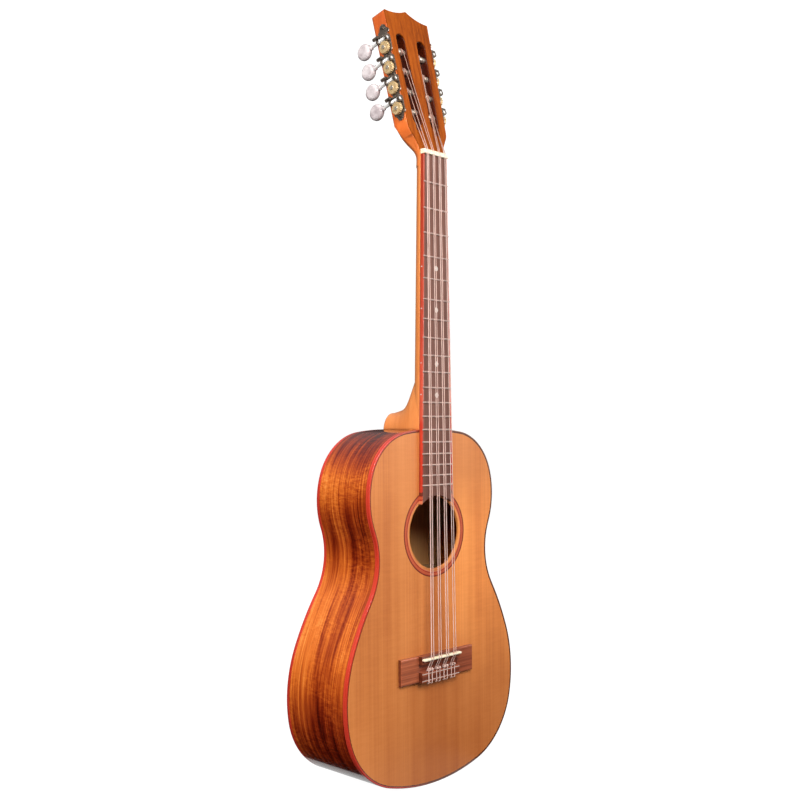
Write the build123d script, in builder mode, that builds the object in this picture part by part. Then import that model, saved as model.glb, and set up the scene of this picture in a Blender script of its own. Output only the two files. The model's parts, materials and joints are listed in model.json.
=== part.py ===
from build123d import *
import os
from math import cos, degrees, atan2, radians, sin, tan

# Eight-string fretted instrument with four double courses, a hollow figure-of-eight body and a
# slotted headstock with geared tuners along both sides.
# Frame: +Z runs up the instrument from the tail to the headstock, the soundboard faces -Y, and the
# instrument is symmetric about X = 0. The origin is under the middle of the bounding box.
# All sizes are in millimetres.

os.makedirs("parts", exist_ok=True)

# ------------------------------------------------------------------ driving dimensions
CUT_REACH = 200.0            # longer than any piece a cutting shape runs through
SCALE_LENGTH = 511.2
FRET_COUNT = 19
NECK_LENGTH = 282.9          # body edge to the fingerboard's nut end

# Right half of the body outline from the top centre to the tail: radius and turn of each tangent
# arc. A positive turn is clockwise. The tail arc closes the outline on the centre line.
OUTLINE_ARCS = [
    (306.2, 7.79),
    (60.5, 65.52),
    (82.4, 39.66),
    (73.0, -54.63),
    (292.9, 10.75),
    (135.3, 33.04),
    (81.2, 61.67),
]
DEPTH_AT_TAIL = 92.5
DEPTH_AT_NECK = 72.9
BODY_OVERSHOOT = 20.0        # how far body prisms run past the back before they are trimmed
SIDE_THICKNESS = 1.8
TOP_THICKNESS = 2.4
BACK_THICKNESS = 2.6
BINDING_HEIGHT = 4.4
BINDING_ROUND = 0.7
PURFLING_WIDTH = 0.7
INLAY_DEPTH = 1.0
LINING_WIDTH = 6.0
LINING_HEIGHT = 12.0
BLOCK_LENGTH = 22.0
NECK_BLOCK_WIDTH = 62.0
TAIL_BLOCK_WIDTH = 70.0

HOLE_BELOW_NUT = 389.7
HOLE_RADIUS = 37.4
HOLE_ROUND = 0.6
ROSETTE_RADII = [40.0, 41.0, 45.0, 46.0]
# Ladder braces under the soundboard: distance below the nut and height
SOUNDBOARD_BRACES = [(344.0, 9.0), (440.0, 10.0), (592.0, 7.0)]
BACK_BRACES_BELOW_NUT = [344.0, 440.0, 548.0]
BACK_BRACE_HEIGHT = 9.0
BRACE_WIDTH = 7.0
BRACE_HALF_REACH = 130.0
BRIDGE_PATCH_THICKNESS = 2.2

# Fingerboard and neck
BOARD_THICKNESS = 4.2
BOARD_HALF_WIDTH_NUT = 17.85
BOARD_TAPER = 0.01597        # half width gained per millimetre below the nut
BOARD_BINDING = 1.5
NECK_DEPTH_NUT = 14.4
NECK_DEPTH_TAPER = 0.0145
NUT_THICKNESS = 5.0
NUT_HEIGHT = 6.3
FRET_WIDTH = 1.6
FRET_HEIGHT = 1.0
TANG_WIDTH = 0.6
TANG_DEPTH = 1.6
TANG_END_GAP = 0.02
DOT_FRETS = [5, 7, 10, 12]
DOT_RADIUS = 2.7
SIDE_DOT_RADIUS = 1.0
HEEL_OVERLAP = 2.0           # cut back to the curved body edge
HEEL_CAP_ROUND = 2.5
# Heel sections from the fingerboard to the cap: depth, half width, reach up the neck
HEEL_SECTIONS = [
    (0.0, 22.4, 72.0),
    (12.0, 22.0, 66.0),
    (19.0, 21.2, 51.0),
    (25.0, 20.2, 37.0),
    (32.0, 18.8, 26.8),
    (41.0, 16.9, 21.0),
    (51.0, 15.0, 18.5),
    (61.5, 14.0, 18.2),
]

# Sections that blend the neck into the headstock: rise above the nut, half width, depth
HEAD_FLARE = [
    (-14.0, 17.9, 14.4),
    (-1.0, 18.4, 15.6),
    (7.0, 21.5, 20.2),
    (15.5, 29.5, 28.0),
    (22.0, 36.0, 31.5),
    (29.0, 44.0, 33.5),
    (39.0, 60.0, 42.0),
]

# Headstock, in its own plane: u across, v up from the nut, depth behind the face
HEAD_TILT = 13.5
HEAD_THICKNESS = 19.6
VENEER = 1.6
SHOULDER_U = 29.2
SHOULDER_V = 28.0
CORNER_U = 32.8
CORNER_V = 154.9
PEAK_V = 161.6
SCALLOP = (16.6, 155.9)
SHOULDER_CURVE = [(20.6, 9.0), (25.9, 18.0)]
SLOT_LENGTH = 104.0
SLOT_WIDTH = 14.3
SLOT_MIDDLE_V = 79.0
SLOT_WALL = 9.0
RAMP_LENGTH = 16.5
RAMP_OVERLAP = 5.0           # how far the ramps reach into the slots
RAMP_DEPTH = 4.0
RAMP_HALF_WIDTH = 4.5
RAMP_SHIFT = 0.8
BACK_CURVE_V = 23.0          # where the flat back of the headstock starts
BACK_CURVE_BELOW_NUT = 12.0  # where the neck starts to thicken towards the headstock
EDGE_BREAK = 0.5

# Tuners: gear on a string post along the side's normal, worm on a shaft through the depth
TUNER_COUNT = 4
FIRST_POST_V = 45.2
POST_PITCH = 22.85
POST_DEPTH = 7.6
POST_RADIUS = 3.0
POST_HOLE_GAP = 0.3
POST_HOLE_LENGTH = 28.3
RUNNING_GAP = 0.06
PLATE_THICKNESS = 1.2
GEAR_TEETH = 18
GEAR_RADIUS = 6.57
GEAR_THICKNESS = 3.0
GEAR_OUT = 4.1               # gear middle plane and worm axis, out from the headstock's side
TOOTH_GAP_RADIUS = 0.72
WORM_PITCH = 2.15
WORM_TURNS = 4
WORM_CORE = 2.08
WORM_THROW = 0.42
WORM_CENTRES = 8.52          # gear axis to worm axis
WORM_SHAFT_RADIUS = 1.6
EAR_RADIUS = 3.4
EAR_FRONT = (0.6, 2.8)       # depth range of each ear
EAR_BACK = (13.2, 14.8)
BUTTON_DEPTH = 35.4
BUTTON_LENGTH = 18.0
BUTTON_WIDTH = 17.0
BUTTON_THICKNESS = 7.6
BUTTON_ROUND = 3.2
BUTTON_NECK_RADIUS = 2.6
BUTTON_NECK_LENGTH = 2.0
SHAFT_END_DEPTH = 33.2
COLLAR_RADIUS = 2.2
COLLAR_LENGTH = 1.2
GEAR_CLEARANCE = 0.3
GEAR_BOSS_RADIUS = 3.4
GEAR_SCREW_RADIUS = 2.2
GEAR_SCREW_HEIGHT = 1.1
GEAR_SCREW_ROUND = 0.5
GEAR_SCREW_TURN = 30
POST_STUB_RADIUS = 1.6
POST_LENGTH = 27.5
STRING_HOLE_RADIUS = 0.9
SCREW_HEAD_RADIUS = 1.9
SCREW_SHANK_RADIUS = 0.9

PLATE_WIDTH = 14.6
PLATE_WAIST = 10.0
PLATE_PANEL = 20.5
PLATE_PANEL_SHIFT = 4.2
PLATE_CORNER = 4.0
END_LOBE = 4.4
SIDE_LOBE = 3.0
SIDE_LOBE_SPREAD = 4.8
END_SCREW = 8.0
TOP_SCREW = 22.3
MIDDLE_SCREW = 14.6
SCREW_HEAD_HEIGHT = 1.2
SCREW_LENGTH = 9.0
SCREW_SLOT = 0.6
SCREW_TURNS = [20, 65, 110, 150, 35]
WORM_WALL = 2.9              # worm axis to the wall on its upper side
WORM_WALL_THICKNESS = 1.2
WORM_WALL_REACH = 5.6
SHAFT_RECESS = 0.2           # the worm shaft's front end below the front ear
KNUCKLE_OVERLAP = 0.4        # how far the knuckle sinks into the wall
KNUCKLE_START = 12.0
KNUCKLE_LENGTH = 6.6
KNUCKLE_OUT = 2.2
KNUCKLE_RADIUS = 1.9

# Bridge and strings
STRING_RADII = [0.5, 0.42, 0.47, 0.38]
NUT_COURSES = [-13.6, -4.5, 4.5, 13.6]
NUT_PAIR = 2.2
SADDLE_COURSES = [-17.2, -5.7, 5.7, 17.2]
SADDLE_PAIR = 3.3
STRING_AT_NUT = 6.1          # string heights are above the soundboard
STRING_AT_SADDLE = 12.0
SADDLE_BELOW_NUT = 516.6
SADDLE_THICKNESS = 2.6
SADDLE_LENGTH = 57.0
BRIDGE_TOP_BELOW_NUT = 513.3
BRIDGE_HEIGHT_Z = 26.5
BRIDGE_HALF_LENGTH = 54.8
BRIDGE_CENTRE_HALF = 29.0
WING_HEIGHT = 3.8
BRIDGE_HEIGHT = 8.2
CHANNEL_HEIGHT = 3.2
TIE_BLOCK_LENGTH = 10.6
TIE_HOLE_RADIUS = 0.8
TIE_HOLE_HEIGHT = 5.4
POST_STRING_GAP = 0.3
NUT_APEX = 2.0
NUT_BACK_HEIGHT = 5.0
NUT_ROUND = 0.6
SADDLE_ROUND = 1.25
SADDLE_WALL = 3.4
WING_ROUND = 1.2
BLOCK_ROUND = 0.8
TIE_LOOP_GAP = 0.8           # middle of a tie loop above the tie block
TIE_LINE_INSET = 1.9
TIE_LINE_WIDTH = 0.6
TIE_SHIFT = 0.9
TIE_LOOP_REACH = 1.5
TIE_END_HEIGHT = 6.8
# Bend radii at the nut, the saddle, the tie hole and round the tie block
STRING_BENDS = [4.0, 2.0, 2.0, 1.3, 1.3, 1.2]
BOARD_END_SETBACK = 0.8
FRET_END_INSET = 0.3
# Where each string's post winding stands across its slot, from the lowest post up
WINDING_U = [16.6, 14.4, 12.8, 11.4]

# ------------------------------------------------------------------ body outline and planes
with BuildSketch() as outline_from_top:
    with BuildLine():
        point = Vector(0, 0)
        heading = Vector(1, 0)
        for arc_radius, turn in OUTLINE_ARCS:
            arc = JernArc(start=point, tangent=heading, radius=arc_radius, arc_size=-turn)
            point = arc @ 1
            heading = arc % 1
        tail_turn = 180 - sum(turn for _, turn in OUTLINE_ARCS)
        tail_radius = point.X / sin(radians(tail_turn))
        JernArc(start=point, tangent=heading, radius=tail_radius, arc_size=-tail_turn)
        mirror(about=Plane.YZ)
    make_face()

BODY_LENGTH = outline_from_top.sketch.bounding_box().size.Y
NUT_Z = BODY_LENGTH + NECK_LENGTH
STRING_PROUD = STRING_AT_SADDLE + max(STRING_RADII)
FACE_Y = -(DEPTH_AT_TAIL - STRING_PROUD) / 2
BACK_SLOPE = (DEPTH_AT_TAIL - DEPTH_AT_NECK) / BODY_LENGTH
BODY_REACH = DEPTH_AT_TAIL + BODY_OVERSHOOT

FACE = Plane(origin=(0, FACE_Y, 0), x_dir=(1, 0, 0), z_dir=(0, -1, 0))
BACK = Plane(origin=(0, FACE_Y + DEPTH_AT_TAIL, 0), x_dir=(1, 0, 0), z_dir=(0, 1, BACK_SLOPE))
HEAD = Plane(
    origin=(0, FACE_Y, NUT_Z + NUT_THICKNESS),
    x_dir=(1, 0, 0),
    z_dir=(0, -cos(radians(HEAD_TILT)), sin(radians(HEAD_TILT))),
)
SIDE_LEAN = degrees(atan2(CORNER_U - SHOULDER_U, CORNER_V - SHOULDER_V))

body_outline = Pos(0, BODY_LENGTH) * outline_from_top.sketch
inside_side = offset(body_outline, amount=-SIDE_THICKNESS)
inside_purfling = offset(body_outline, amount=-SIDE_THICKNESS - PURFLING_WIDTH)
inside_lining = offset(body_outline, amount=-SIDE_THICKNESS - LINING_WIDTH)


def fret_distance(number):
    """Distance from the nut to a fret, in equal temperament."""
    return SCALE_LENGTH * (1 - 2 ** (-number / 12))


def board_half_width(below_nut):
    return BOARD_HALF_WIDTH_NUT + BOARD_TAPER * below_nut


def head_point(u, v, depth):
    """A point given across, up and behind the headstock's face."""
    return HEAD.from_local_coords(Vector(u, v, -depth))


def side_u(v):
    """Half width of the headstock beside the tuners."""
    return SHOULDER_U + (v - SHOULDER_V) * tan(radians(SIDE_LEAN))


def body_slab(profile, front_depth, reach=BODY_REACH):
    """A prism of a body profile, from a depth behind the soundboard's face towards the back."""
    with BuildPart() as slab:
        with BuildSketch(FACE.offset(-front_depth)):
            add(profile)
        extrude(amount=-reach)
    return slab.part


def finish(piece, name):
    piece.label = name
    export_step(piece, f"parts/{name}.step")


# ------------------------------------------------------------------ soundboard and its inlays
hole_z = NUT_Z - HOLE_BELOW_NUT
line_outer, band_outer, band_inner, line_inner = reversed(ROSETTE_RADII)

with BuildPart() as purfling_lines:
    with BuildSketch(FACE):
        add(inside_side)
        add(inside_purfling, mode=Mode.SUBTRACT)
        with Locations((0, hole_z)):
            Circle(line_outer)
            Circle(band_outer, mode=Mode.SUBTRACT)
            Circle(band_inner)
            Circle(line_inner, mode=Mode.SUBTRACT)
    extrude(amount=-INLAY_DEPTH)
finish(purfling_lines.part, "purfling_lines")

with BuildPart() as rosette_band:
    with BuildSketch(FACE):
        with Locations((0, hole_z)):
            Circle(band_outer)
            Circle(band_inner, mode=Mode.SUBTRACT)
    extrude(amount=-INLAY_DEPTH)
finish(rosette_band.part, "rosette_band")

with BuildPart() as soundboard:
    with BuildSketch(FACE):
        add(inside_side)
        with Locations((0, hole_z)):
            Circle(HOLE_RADIUS, mode=Mode.SUBTRACT)
    extrude(amount=-TOP_THICKNESS)
    add(purfling_lines.part, mode=Mode.SUBTRACT)
    add(rosette_band.part, mode=Mode.SUBTRACT)
    hole_edges = soundboard.edges().filter_by(GeomType.CIRCLE).filter_by(
        lambda edge: abs(edge.radius - HOLE_RADIUS) < 0.01)
    fillet(hole_edges.group_by(Axis.Y)[0], HOLE_ROUND)
finish(soundboard.part, "soundboard")

# ------------------------------------------------------------------ sides, back and binding
with BuildPart() as side_ring:
    with BuildSketch(FACE.offset(-BINDING_HEIGHT)):
        add(body_outline)
        add(inside_side, mode=Mode.SUBTRACT)
    extrude(amount=-BODY_REACH)
    split(bisect_by=BACK.offset(-BINDING_HEIGHT), keep=Keep.BOTTOM)

with BuildPart() as left_side:
    add(side_ring.part)
    split(bisect_by=Plane.YZ, keep=Keep.BOTTOM)
finish(left_side.part, "left_side")

with BuildPart() as right_side:
    add(side_ring.part)
    split(bisect_by=Plane.YZ, keep=Keep.TOP)
finish(right_side.part, "right_side")

with BuildPart() as front_binding:
    with BuildSketch(FACE):
        add(body_outline)
        add(inside_side, mode=Mode.SUBTRACT)
    extrude(amount=-BINDING_HEIGHT)
    outer_edges = front_binding.faces().sort_by(Axis.Y)[0].outer_wire().edges()
    fillet(outer_edges, BINDING_ROUND)

with BuildPart() as back_binding:
    with BuildSketch(FACE):
        add(body_outline)
        add(inside_side, mode=Mode.SUBTRACT)
    extrude(amount=-BODY_REACH)
    split(bisect_by=BACK.offset(-BINDING_HEIGHT), keep=Keep.TOP)
    split(bisect_by=BACK, keep=Keep.BOTTOM)
    outer_edges = back_binding.faces().sort_by(Axis.Y)[-1].outer_wire().edges()
    fillet(outer_edges, BINDING_ROUND)

with BuildPart() as body_binding:
    add(front_binding.part)
    add(back_binding.part)
finish(body_binding.part, "body_binding")

with BuildPart() as back:
    add(body_slab(inside_side, 0))
    split(bisect_by=BACK.offset(-BACK_THICKNESS), keep=Keep.TOP)
    split(bisect_by=BACK, keep=Keep.BOTTOM)
finish(back.part, "back")

# ------------------------------------------------------------------ inside the body
INSIDE_BACK = BACK.offset(-BACK_THICKNESS)


def end_block(middle_z, width, length):
    """A block that fills the body's depth at one end, shaped to the inside of the sides."""
    with BuildPart() as block:
        add(body_slab(inside_side, TOP_THICKNESS))
        with Locations((0, FACE_Y + BODY_REACH / 2, middle_z)):
            Box(width, 2 * BODY_REACH, length, mode=Mode.INTERSECT)
        split(bisect_by=INSIDE_BACK, keep=Keep.BOTTOM)
    return block.part


with BuildPart() as neck_block:
    add(end_block(BODY_LENGTH, NECK_BLOCK_WIDTH, 2 * (BLOCK_LENGTH + SIDE_THICKNESS)))
finish(neck_block.part, "neck_block")

with BuildPart() as tail_block:
    add(end_block(0, TAIL_BLOCK_WIDTH, 2 * (BLOCK_LENGTH + SIDE_THICKNESS)))
finish(tail_block.part, "tail_block")

with BuildPart() as lining_ring:
    with BuildSketch(FACE.offset(-TOP_THICKNESS)):
        add(inside_side)
        add(inside_lining, mode=Mode.SUBTRACT)
    extrude(amount=-BODY_REACH)
    split(bisect_by=INSIDE_BACK, keep=Keep.BOTTOM)
    add(neck_block.part, mode=Mode.SUBTRACT)
    add(tail_block.part, mode=Mode.SUBTRACT)

with BuildPart() as soundboard_lining:
    add(lining_ring.part)
    split(bisect_by=FACE.offset(-TOP_THICKNESS - LINING_HEIGHT), keep=Keep.TOP)

with BuildPart() as back_lining:
    add(lining_ring.part)
    split(bisect_by=INSIDE_BACK.offset(-LINING_HEIGHT), keep=Keep.TOP)

with BuildPart() as linings:
    add(soundboard_lining.part)
    add(back_lining.part)
finish(linings.part, "linings")

with BuildPart() as soundboard_braces:
    for below_nut, brace_height in SOUNDBOARD_BRACES:
        with BuildSketch(FACE.offset(-TOP_THICKNESS)):
            with Locations((0, NUT_Z - below_nut)):
                Rectangle(2 * BRACE_HALF_REACH, BRACE_WIDTH)
            add(inside_lining, mode=Mode.INTERSECT)
        extrude(amount=-brace_height)
    with BuildSketch(FACE.offset(-TOP_THICKNESS)):
        with Locations((0, NUT_Z - BRIDGE_TOP_BELOW_NUT - BRIDGE_HEIGHT_Z / 2)):
            Rectangle(2 * BRIDGE_HALF_LENGTH + 12, BRIDGE_HEIGHT_Z + 8)
    extrude(amount=-BRIDGE_PATCH_THICKNESS)

with BuildPart() as back_braces:
    for below_nut in BACK_BRACES_BELOW_NUT:
        with BuildSketch(FACE.offset(-TOP_THICKNESS)):
            with Locations((0, NUT_Z - below_nut)):
                Rectangle(2 * BRACE_HALF_REACH, BRACE_WIDTH)
            add(inside_lining, mode=Mode.INTERSECT)
        extrude(amount=-BODY_REACH)
    split(bisect_by=INSIDE_BACK, keep=Keep.BOTTOM)
    split(bisect_by=INSIDE_BACK.offset(-BACK_BRACE_HEIGHT), keep=Keep.TOP)

with BuildPart() as braces:
    add(soundboard_braces.part)
    add(back_braces.part)
finish(braces.part, "braces")

# ------------------------------------------------------------------ tuner planes and places
lean = radians(SIDE_LEAN)
out_from_side = HEAD.x_dir * cos(lean) - HEAD.y_dir * sin(lean)
up_the_side = HEAD.x_dir * sin(lean) + HEAD.y_dir * cos(lean)
POSTS_V = [FIRST_POST_V + POST_PITCH * index for index in range(TUNER_COUNT)]
PLATE_V = (POSTS_V[0] + POSTS_V[-1]) / 2
# On SIDE, local x runs up the headstock's right side, y towards the front and z outwards.
SIDE = Plane(origin=head_point(side_u(PLATE_V), PLATE_V, POST_DEPTH), x_dir=up_the_side,
             z_dir=out_from_side)
POSTS_X = [(v - PLATE_V) / cos(lean) for v in POSTS_V]
SCREWS_X = [POSTS_X[0] - END_SCREW, POSTS_X[-1] + TOP_SCREW]
SCREWS_X += [post_x + MIDDLE_SCREW for post_x in POSTS_X[:-1]]


def post_plane(post_x):
    """Local z runs outwards along the string post and x up the side, from the wood's surface."""
    return Plane(origin=SIDE.from_local_coords(Vector(post_x, 0, 0)), x_dir=SIDE.x_dir,
                 z_dir=SIDE.z_dir)


def mirrored_plane(plane):
    """The same plane on the headstock's other side."""
    return Plane(
        origin=(-plane.origin.X, plane.origin.Y, plane.origin.Z),
        x_dir=(-plane.x_dir.X, plane.x_dir.Y, plane.x_dir.Z),
        z_dir=(-plane.z_dir.X, plane.z_dir.Y, plane.z_dir.Z),
    )


def worm_plane(post_x, depth=0.0):
    """Local z runs back along the worm shaft and x outwards, from a depth behind the face."""
    start = Vector(post_x + WORM_CENTRES, POST_DEPTH - depth, GEAR_OUT)
    return Plane(origin=SIDE.from_local_coords(start), x_dir=SIDE.z_dir, z_dir=-HEAD.z_dir)


# ------------------------------------------------------------------ neck and headstock
def d_section(half_width, depth):
    """A flat-topped half ellipse, from the local X axis towards local +Y."""
    with BuildSketch() as section:
        with BuildLine():
            EllipticalCenterArc((0, 0), half_width, depth, start_angle=0, arc_size=180)
            Line((-half_width, 0), (half_width, 0))
        make_face()
    return section.sketch


def neck_section_plane(z):
    return Plane(origin=(0, FACE_Y, z), x_dir=(1, 0, 0), z_dir=(0, 0, 1))


with BuildSketch() as head_outline:
    with BuildLine():
        Line((0, 0), (board_half_width(0), 0))
        Spline(
            (board_half_width(0), 0),
            *SHOULDER_CURVE,
            (SHOULDER_U, SHOULDER_V),
            tangents=[(sin(lean), cos(lean))] * 2,
        )
        Line((SHOULDER_U, SHOULDER_V), (CORNER_U, CORNER_V))
        ThreePointArc((CORNER_U, CORNER_V), SCALLOP, (0, PEAK_V))
        mirror(about=Plane.YZ)
    make_face()

with BuildSketch() as slot_openings:
    for direction in (1, -1):
        middle_u = side_u(SLOT_MIDDLE_V) - SLOT_WALL - SLOT_WIDTH / 2
        with Locations((direction * middle_u, SLOT_MIDDLE_V)):
            SlotOverall(SLOT_LENGTH, SLOT_WIDTH, rotation=90 - direction * SIDE_LEAN)

ramp_u = side_u(SLOT_MIDDLE_V - SLOT_LENGTH / 2) - SLOT_WALL - SLOT_WIDTH / 2
ramp_low_v = SLOT_MIDDLE_V - SLOT_LENGTH / 2 + RAMP_OVERLAP - RAMP_LENGTH

# Wedges that let the strings run down into the lower end of each slot.
with BuildPart() as string_ramps:
    with BuildSketch(Plane.YZ):
        with BuildLine():
            corners = [
                head_point(0, ramp_low_v, 0),
                head_point(0, ramp_low_v, -RAMP_DEPTH),
                head_point(0, ramp_low_v + RAMP_LENGTH, -RAMP_DEPTH),
                head_point(0, ramp_low_v + RAMP_LENGTH, RAMP_DEPTH),
            ]
            Polyline([(corner.Y, corner.Z) for corner in corners], close=True)
        make_face()
    extrude(amount=RAMP_HALF_WIDTH, both=True)

right_ramp = Pos(ramp_u + RAMP_SHIFT, 0, 0) * string_ramps.part
left_ramp = Pos(-ramp_u - RAMP_SHIFT, 0, 0) * string_ramps.part

with BuildPart() as headstock_veneer:
    with BuildSketch(HEAD):
        add(head_outline.sketch)
        add(slot_openings.sketch, mode=Mode.SUBTRACT)
    extrude(amount=-VENEER)
    face_edges = headstock_veneer.faces().sort_by(Axis(HEAD.origin, HEAD.z_dir))[-1].edges()
    low_edge = face_edges.sort_by(Axis.Z)[0]
    chamfer(face_edges.filter_by(lambda edge: edge.center().Z > low_edge.center().Z + 1), EDGE_BREAK)
    add(right_ramp, mode=Mode.SUBTRACT)
    add(left_ramp, mode=Mode.SUBTRACT)
finish(headstock_veneer.part, "headstock_veneer")

# Carved shape that trims the headstock's corners where it runs into the round neck.
with BuildPart() as head_envelope:
    for rise, half_width, section_depth in HEAD_FLARE:
        with BuildSketch(neck_section_plane(NUT_Z + rise)):
            add(d_section(half_width, section_depth))
    loft()
    with Locations((0, FACE_Y, NUT_Z + HEAD_FLARE[-1][0])):
        Box(CUT_REACH, CUT_REACH, CUT_REACH, align=(Align.CENTER, Align.CENTER, Align.MIN))

with BuildPart() as head_block:
    with BuildSketch(HEAD.offset(-VENEER)):
        add(head_outline.sketch)
        Rectangle(2 * board_half_width(0), HEAD_THICKNESS, align=(Align.CENTER, Align.MAX))
    extrude(amount=-(HEAD_THICKNESS - VENEER))
    add(head_envelope.part, mode=Mode.INTERSECT)
    back_corner = head_point(0, BACK_CURVE_V, HEAD_THICKNESS)
    back_top = head_point(0, CUT_REACH, HEAD_THICKNESS)
    front_top = head_point(0, CUT_REACH, -HEAD_THICKNESS)
    with BuildSketch(Plane.YZ):
        with BuildLine():
            back_low_z = NUT_Z - BACK_CURVE_BELOW_NUT
            neck_back = (FACE_Y + NECK_DEPTH_NUT, back_low_z)
            front_low = (FACE_Y - HEAD_THICKNESS, back_low_z)
            Spline(
                (back_corner.Y, back_corner.Z),
                neck_back,
                tangents=[(-sin(radians(HEAD_TILT)), -cos(radians(HEAD_TILT))), (0, -1)],
            )
            Polyline(neck_back, front_low, (front_top.Y, front_top.Z), (back_top.Y, back_top.Z),
                     (back_corner.Y, back_corner.Z))
        make_face()
    extrude(amount=CUT_REACH, both=True, mode=Mode.INTERSECT)

heel_z = BODY_LENGTH - HEEL_OVERLAP
neck_top_z = NUT_Z + NUT_THICKNESS

with BuildPart() as neck:
    for z in (heel_z, neck_top_z):
        with BuildSketch(neck_section_plane(z)):
            section_depth = NECK_DEPTH_NUT + NECK_DEPTH_TAPER * (NUT_Z - z)
            add(d_section(board_half_width(NUT_Z - z), section_depth))
    loft()
    for heel_depth, half_width, reach in HEEL_SECTIONS:
        heel_origin = (0, FACE_Y + heel_depth, heel_z)
        with BuildSketch(Plane(origin=heel_origin, x_dir=(1, 0, 0), z_dir=(0, -1, 0))):
            add(d_section(half_width, reach + HEEL_OVERLAP))
    loft()
    cap_edges = neck.faces().sort_by(Axis.Y)[-1].edges().filter_by(
        lambda edge: edge.center().Z > heel_z + 1)
    fillet(cap_edges, HEEL_CAP_ROUND)
    add(head_block.part)
    add(body_slab(body_outline, 0), mode=Mode.SUBTRACT)
    with BuildSketch(HEAD):
        add(slot_openings.sketch)
    extrude(amount=-2 * HEAD_THICKNESS, mode=Mode.SUBTRACT)
    with BuildSketch(HEAD):
        add(head_outline.sketch)
    extrude(amount=-VENEER, mode=Mode.SUBTRACT)
    add(right_ramp, mode=Mode.SUBTRACT)
    add(left_ramp, mode=Mode.SUBTRACT)
    for side_plane in (SIDE, mirrored_plane(SIDE)):
        with BuildSketch(side_plane):
            with Locations([(post_x, 0) for post_x in POSTS_X]):
                Circle(POST_RADIUS + POST_HOLE_GAP)
        extrude(amount=-POST_HOLE_LENGTH, mode=Mode.SUBTRACT)
        with BuildSketch(side_plane):
            with Locations([(screw_x, 0) for screw_x in SCREWS_X]):
                Circle(SCREW_SHANK_RADIUS)
        extrude(amount=PLATE_THICKNESS - SCREW_LENGTH, mode=Mode.SUBTRACT)
finish(neck.part, "neck")

# ------------------------------------------------------------------ fingerboard
BOARD_TOP = FACE.offset(BOARD_THICKNESS)


def board_outline(inset):
    """Fingerboard outline on the face plane, cut to the sound hole's circle at its end."""
    with BuildSketch() as outline:
        with BuildLine():
            nut_half = board_half_width(0) - inset
            end_half = board_half_width(HOLE_BELOW_NUT) - inset
            Polyline((-end_half, hole_z), (end_half, hole_z), (nut_half, NUT_Z), (-nut_half, NUT_Z),
                     close=True)
        make_face()
        with Locations((0, hole_z)):
            Circle(HOLE_RADIUS + BOARD_END_SETBACK, mode=Mode.SUBTRACT)
    return outline.sketch


whole_board = board_outline(0)
board_core = board_outline(BOARD_BINDING)

with BuildPart() as frets:
    for number in range(1, FRET_COUNT + 1):
        below_nut = fret_distance(number)
        crown_half = board_half_width(below_nut) - FRET_END_INSET
        tang_half = board_half_width(below_nut) - BOARD_BINDING - TANG_END_GAP
        top_y = FACE_Y - BOARD_THICKNESS
        fret_z = NUT_Z - below_nut
        with BuildSketch(Plane.YZ):
            with BuildLine():
                crown_low = (top_y, fret_z - FRET_WIDTH / 2)
                crown_high = (top_y, fret_z + FRET_WIDTH / 2)
                ThreePointArc(crown_low, (top_y - FRET_HEIGHT, fret_z), crown_high)
                Line(crown_high, crown_low)
            make_face()
        extrude(amount=crown_half, both=True)
        with BuildSketch(Plane.YZ):
            with Locations((top_y, fret_z)):
                Rectangle(TANG_DEPTH, TANG_WIDTH, align=(Align.MIN, Align.CENTER))
        extrude(amount=tang_half, both=True)
finish(frets.part, "frets")

dot_places = [(fret_distance(number) + fret_distance(number - 1)) / 2 for number in DOT_FRETS]

with BuildPart() as position_dots:
    for below_nut in dot_places:
        with BuildSketch(BOARD_TOP):
            with Locations((0, NUT_Z - below_nut)):
                Circle(DOT_RADIUS)
        extrude(amount=-INLAY_DEPTH)
        edge_x = -board_half_width(below_nut)
        side_centre = (edge_x, FACE_Y - BOARD_THICKNESS / 2, NUT_Z - below_nut)
        with BuildSketch(Plane(origin=side_centre, x_dir=(0, 0, 1), z_dir=(-1, 0, 0))):
            Circle(SIDE_DOT_RADIUS)
        extrude(amount=-INLAY_DEPTH)
finish(position_dots.part, "position_dots")

with BuildPart() as fingerboard:
    with BuildSketch(FACE):
        add(board_core)
    extrude(amount=BOARD_THICKNESS)
    add(frets.part, mode=Mode.SUBTRACT)
    add(position_dots.part, mode=Mode.SUBTRACT)
finish(fingerboard.part, "fingerboard")

with BuildPart() as fingerboard_binding:
    with BuildSketch(FACE):
        add(whole_board)
        add(board_core, mode=Mode.SUBTRACT)
    extrude(amount=BOARD_THICKNESS)
    add(position_dots.part, mode=Mode.SUBTRACT)
finish(fingerboard_binding.part, "fingerboard_binding")

# ------------------------------------------------------------------ strings
saddle_z = NUT_Z - SADDLE_BELOW_NUT
bridge_top_z = NUT_Z - BRIDGE_TOP_BELOW_NUT
bridge_low_z = bridge_top_z - BRIDGE_HEIGHT_Z
tie_front_z = bridge_low_z + TIE_BLOCK_LENGTH
tie_loop_height = BRIDGE_HEIGHT + TIE_LOOP_GAP


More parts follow.
